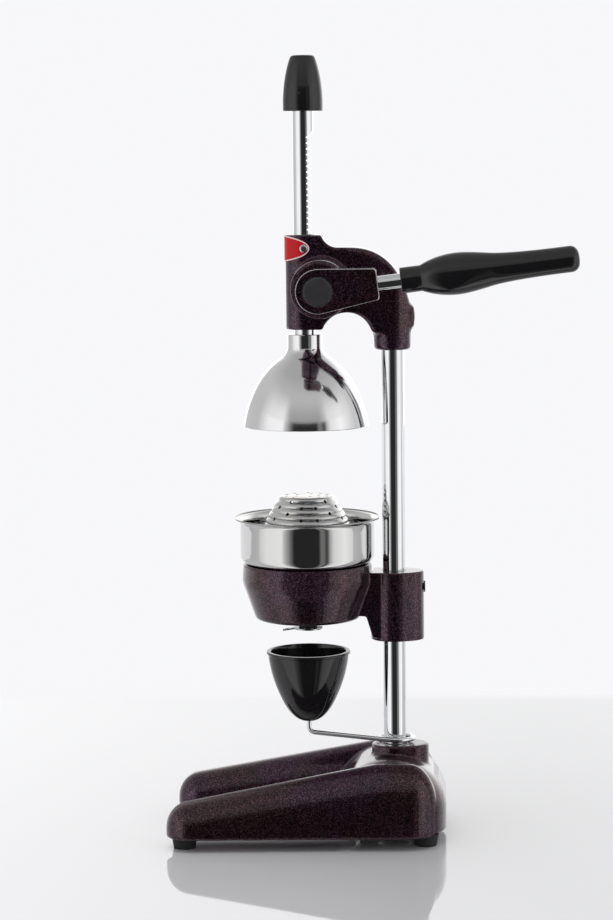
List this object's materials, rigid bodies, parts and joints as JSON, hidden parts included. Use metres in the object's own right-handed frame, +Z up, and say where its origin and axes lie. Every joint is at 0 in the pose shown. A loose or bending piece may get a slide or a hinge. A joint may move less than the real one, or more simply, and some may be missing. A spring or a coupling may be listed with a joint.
{
  "type": "citrus press juicer",
  "caption": "Hand-lever citrus press: a horseshoe base and post carry a strainer bowl and a rack-and-pinion head that drives a press cone down, over a swing-out drip cup.",
  "frame": {"origin": "on the table under the press axis, in the plane of the feet", "axes": "+Z up along the press axis, +Y back towards the post, +X towards the side with the lever"},
  "size_m": [0.1951, 0.3731, 0.7143],
  "materials": {
    "casting_paint": "hammertone enamel, glossy",
    "chrome": "polished chrome plate",
    "bowl_steel": "spun and satin polished",
    "strainer_steel": "pressed, satin",
    "cone_aluminium": "polished",
    "black_plastic": "glossy moulded",
    "cap_plastic": "satin moulded",
    "sleeve_rubber": "satin",
    "feet_rubber": "matte",
    "bronze": "turned",
    "plated_steel": "zinc plated",
    "dark_steel": "black oxide",
    "shaft_steel": "machined",
    "plate_paint": "red enamel with a white edge line"
  },
  "bodies": {
    "stand": {"base_casting": "casting_paint", "rubber_feet": "feet_rubber", "foot_screws": "plated_steel", "post": "chrome", "post_bolt": "plated_steel", "post_washer": "plated_steel", "holder_casting": "casting_paint", "holder_screw": "dark_steel", "juice_bowl": "bowl_steel", "strainer": "strainer_steel", "spout_seal": "sleeve_rubber", "spout_clip": "plated_steel", "head_casting": "casting_paint", "head_screw": "dark_steel", "shaft_bush": "bronze", "name_plate": "plate_paint", "plate_rivets": "plated_steel"},
    "press_rod": {"rack_rod": "chrome", "rod_knob": "black_plastic", "press_cone": "cone_aluminium", "cone_screw": "plated_steel"},
    "lever": {"pinion_shaft": "shaft_steel", "shaft_ring": "dark_steel", "lever_key": "shaft_steel", "lever_arm": "casting_paint", "lever_washer": "plated_steel", "lever_bolt": "plated_steel", "lever_cap": "cap_plastic", "lever_rod": "chrome", "lever_grip": "black_plastic"},
    "drip_swing": {"drip_arm": "chrome", "drip_cup": "black_plastic"}
  },
  "joints": [
    {"name": "lever_turn", "type": "hinge", "parent": "stand", "child": "lever", "pos_m": [0, 0.0162, 0.506], "axis": [1, 0, 0], "range_deg": [0, 560]},
    {"name": "rack_slide", "type": "slide", "parent": "stand", "child": "press_rod", "axis": [0, 0, -1], "range_m": [0, 0.105]},
    {"name": "drip_swivel", "type": "hinge", "parent": "stand", "child": "drip_swing", "pos_m": [0, 0.0795, 0.0865], "axis": [0, 0, 1], "continuous": true}
  ],
  "couplings": [
    {"joint": "rack_slide", "follows": "lever_turn", "m_per_rad": 0.010725}
  ]
}
